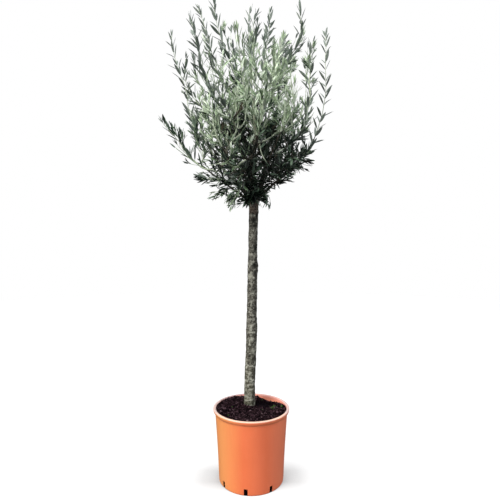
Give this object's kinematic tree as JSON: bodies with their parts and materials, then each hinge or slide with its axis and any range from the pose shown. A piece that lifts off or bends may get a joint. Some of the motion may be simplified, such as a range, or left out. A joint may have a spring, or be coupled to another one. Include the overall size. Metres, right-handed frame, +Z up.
{
  "type": "potted olive tree",
  "caption": "Young standard olive tree with one clear stem and an open upright crown, in a round tapered plastic pot with a rolled rim and drain slots.",
  "frame": {"origin": "middle of the pot's flat underside", "axes": "+Z up the stem; -Y is the side the tree is usually seen from, +X to its right"},
  "size_m": [0.6932, 0.562, 1.91],
  "materials": {
    "pot_plastic": "satin moulded terracotta-coloured plastic",
    "compost": "crumbly moist compost",
    "bark": "grey-green fissured bark with lichen",
    "foliage": "leathery grey-green leaves, silvery underneath"
  },
  "bodies": {
    "root": {"bough_back_left": "bark", "bough_back_right": "bark", "bough_centre": "bark", "bough_far_left": "bark", "bough_front_right": "bark", "bough_left": "bark", "bough_low_left": "bark", "bough_low_right": "bark", "leaves_back_left_wand": "foliage", "leaves_back_low_spray": "foliage", "leaves_back_right_wand": "foliage", "leaves_back_wand": "foliage", "leaves_crest": "foliage", "leaves_far_right_wand": "foliage", "leaves_foot_spray": "foliage", "leaves_front_left_wand": "foliage", "leaves_front_low_spray": "foliage", "leaves_front_tall_wand": "foliage", "leaves_front_wand": "foliage", "leaves_heart": "foliage", "leaves_left_back_wand": "foliage", "leaves_left_foot_spray": "foliage", "leaves_left_inner_wand": "foliage", "leaves_left_low_spray": "foliage", "leaves_left_low_wand": "foliage", "leaves_left_middle_wand": "foliage", "leaves_left_second_wand": "foliage", "leaves_left_tall_wand": "foliage", "leaves_left_wand": "foliage", "leaves_low_1": "foliage", "leaves_low_2": "foliage", "leaves_low_3": "foliage", "leaves_lower_1": "foliage", "leaves_lower_2": "foliage", "leaves_lower_3": "foliage", "leaves_lower_4": "foliage", "leaves_lower_5": "foliage", "leaves_middle_1": "foliage", "leaves_middle_2": "foliage", "leaves_middle_3": "foliage", "leaves_middle_4": "foliage", "leaves_middle_5": "foliage", "leaves_middle_6": "foliage", "leaves_right_foot_spray": "foliage", "leaves_right_front_spray": "foliage", "leaves_right_low_spray": "foliage", "leaves_right_low_wand": "foliage", "leaves_right_middle_wand": "foliage", "leaves_right_tall_wand": "foliage", "leaves_right_wand": "foliage", "leaves_top_front_wand": "foliage", "leaves_top_right_wand": "foliage", "leaves_top_wand": "foliage", "leaves_upper_1": "foliage", "leaves_upper_2": "foliage", "leaves_upper_3": "foliage", "leaves_upper_4": "foliage", "pot": "pot_plastic", "soil": "compost", "trunk": "bark"}
  },
  "joints": []
}
